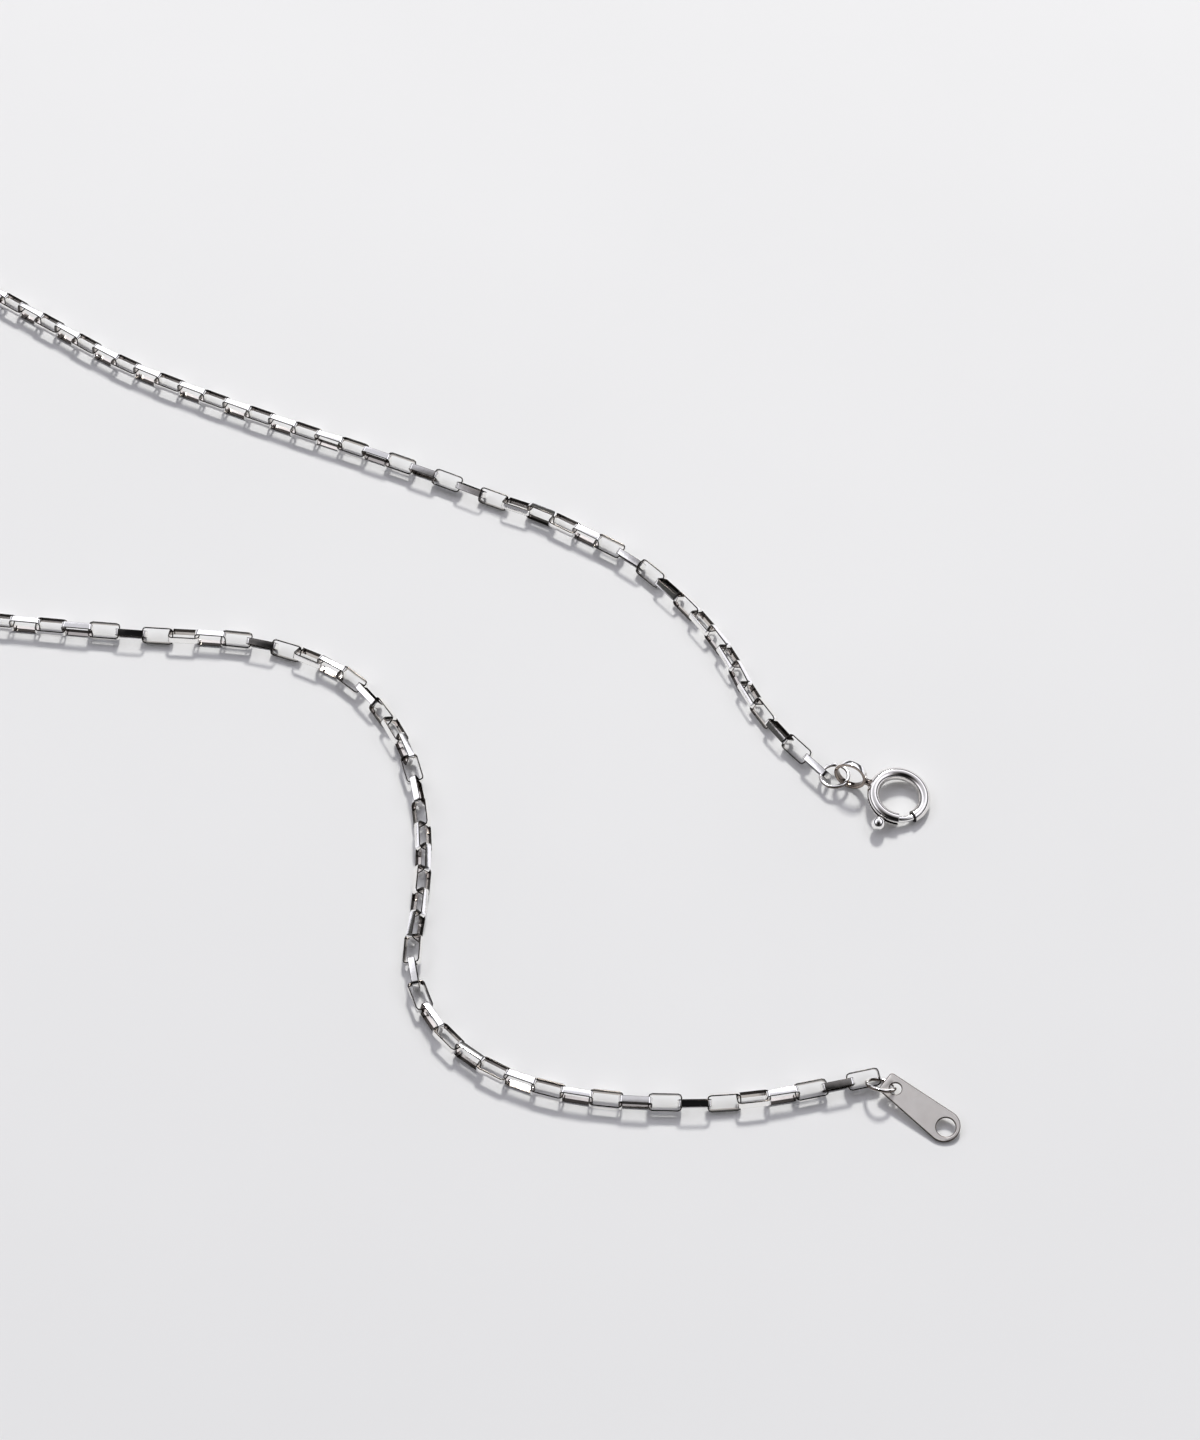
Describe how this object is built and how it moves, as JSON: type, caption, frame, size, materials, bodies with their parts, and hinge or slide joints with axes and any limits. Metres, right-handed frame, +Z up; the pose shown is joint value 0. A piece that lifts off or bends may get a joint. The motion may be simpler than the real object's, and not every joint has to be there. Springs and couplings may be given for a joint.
{
  "type": "box chain necklace",
  "caption": "Fine polished box chain necklace lying open, with a spring ring clasp on one end and a tapered end tag with a clasp hole on the other.",
  "frame": {"origin": "on the surface the necklace lies on, under the middle of its outline", "axes": "+Z up off the surface, -Y towards the viewer of the picture, +X towards the ends with the clasp and the tag, -X towards the loop that goes round the neck"},
  "size_m": [0.182, 0.1212, 0.003],
  "materials": {
    "polished_silver": "polished silver with faint rubbing marks",
    "satin_silver": "satin silver, lightly worn"
  },
  "bodies": {
    "necklace": {"box_chain": "polished_silver", "clasp_jump_ring": "polished_silver", "clasp_ring": "polished_silver", "tag_jump_ring": "polished_silver", "end_tag": "satin_silver"},
    "gate": {"clasp_gate": "polished_silver"}
  },
  "joints": [
    {"name": "clasp_gate_slide", "type": "hinge", "parent": "necklace", "child": "gate", "pos_m": [0.08722, -0.02791, 0.00084], "axis": [-0.1291, 0.0575, -0.99], "range_deg": [0, 50], "stiffness_Nm_per_rad": 0.002}
  ]
}
